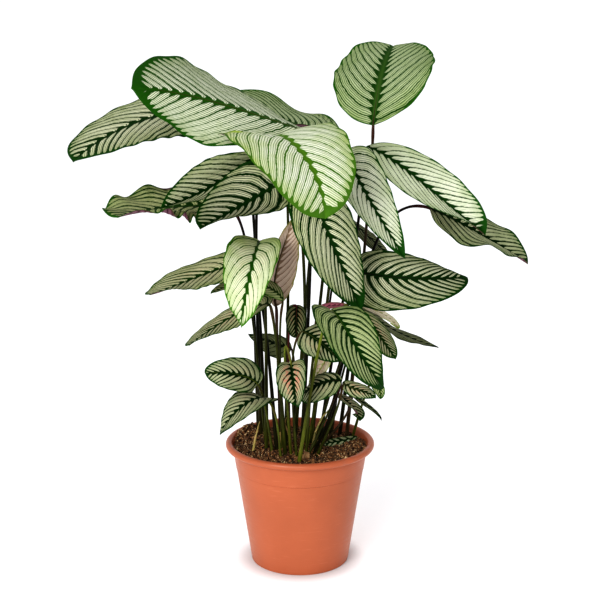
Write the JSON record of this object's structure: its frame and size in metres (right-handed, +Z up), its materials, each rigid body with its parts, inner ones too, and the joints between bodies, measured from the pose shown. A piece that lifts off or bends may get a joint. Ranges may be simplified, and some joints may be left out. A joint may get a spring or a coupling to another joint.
{
  "type": "potted plant",
  "caption": "Calathea with pale striped leaves on thin bent stalks, growing in peat in a round tapered nursery pot with a rolled rim",
  "frame": {"origin": "centre of the pot's underside, on the floor", "axes": "+Z up along the pot's axis, -Y towards the picture's viewer, +X to the viewer's right"},
  "size_m": [0.6322, 0.3821, 0.7233],
  "materials": {
    "pot": "moulded terracotta-orange polypropylene, satin, with scuffs",
    "soil": null,
    "leaf_top_left": null,
    "leaf_top_back": null,
    "leaf_crown_front": null,
    "leaf_top_right": null,
    "leaf_upper_left": null,
    "leaf_left_wavy": null,
    "leaf_left_rear": null,
    "leaf_left_front": null,
    "leaf_mid_left": null,
    "leaf_mid_pale": null,
    "leaf_mid_drooping": null,
    "leaf_mid_small": null,
    "leaf_mid_peeking": null,
    "leaf_low_mid_left": null,
    "leaf_behind_stems": null,
    "leaf_inner_dark": null,
    "leaf_lower_shaded": null,
    "leaf_lower_front": null,
    "leaf_lower_rolled": null,
    "leaf_lower_right": null,
    "leaf_lower_edgewise": null,
    "leaf_lower_pale": null,
    "leaf_right_middle": null,
    "leaf_centre_large": null,
    "leaf_right_hanging": null,
    "leaf_right_upper": null,
    "leaf_right_far": null,
    "leaf_right_shaded": null,
    "leaf_low_left": null,
    "leaf_lowest_left": null,
    "leaf_low_pink": null,
    "leaf_low_right_front": null,
    "leaf_low_right": null,
    "leaf_low_torn": null,
    "leaf_low_narrow": null,
    "leaf_low_curled": null,
    "leaf_low_translucent": null,
    "dry_stub_left": "dry or young plant stalk",
    "dry_stub_node": "dry or young plant stalk",
    "dry_sheath": "dry or young plant stalk",
    "young_shoot": "dry or young plant stalk",
    "fallen_leaf": "dead rolled leaf, matt",
    "bark_chip": "rough bark",
    "bark_flake": "rough bark"
  },
  "bodies": {
    "root": {"pot": "pot", "soil": "soil", "leaf_top_left": "leaf_top_left", "leaf_top_back": "leaf_top_back", "leaf_crown_front": "leaf_crown_front", "leaf_top_right": "leaf_top_right", "leaf_upper_left": "leaf_upper_left", "leaf_left_wavy": "leaf_left_wavy", "leaf_left_rear": "leaf_left_rear", "leaf_left_front": "leaf_left_front", "leaf_mid_left": "leaf_mid_left", "leaf_mid_pale": "leaf_mid_pale", "leaf_mid_drooping": "leaf_mid_drooping", "leaf_mid_small": "leaf_mid_small", "leaf_mid_peeking": "leaf_mid_peeking", "leaf_low_mid_left": "leaf_low_mid_left", "leaf_behind_stems": "leaf_behind_stems", "leaf_inner_dark": "leaf_inner_dark", "leaf_lower_shaded": "leaf_lower_shaded", "leaf_lower_front": "leaf_lower_front", "leaf_lower_rolled": "leaf_lower_rolled", "leaf_lower_right": "leaf_lower_right", "leaf_lower_edgewise": "leaf_lower_edgewise", "leaf_lower_pale": "leaf_lower_pale", "leaf_right_middle": "leaf_right_middle", "leaf_centre_large": "leaf_centre_large", "leaf_right_hanging": "leaf_right_hanging", "leaf_right_upper": "leaf_right_upper", "leaf_right_far": "leaf_right_far", "leaf_right_shaded": "leaf_right_shaded", "leaf_low_left": "leaf_low_left", "leaf_lowest_left": "leaf_lowest_left", "leaf_low_pink": "leaf_low_pink", "leaf_low_right_front": "leaf_low_right_front", "leaf_low_right": "leaf_low_right", "leaf_low_torn": "leaf_low_torn", "leaf_low_narrow": "leaf_low_narrow", "leaf_low_curled": "leaf_low_curled", "leaf_low_translucent": "leaf_low_translucent", "dry_stub_left": "dry_stub_left", "dry_stub_node": "dry_stub_node", "dry_sheath": "dry_sheath", "young_shoot": "young_shoot", "fallen_leaf": "fallen_leaf", "bark_chip": "bark_chip", "bark_flake": "bark_flake"}
  },
  "joints": []
}
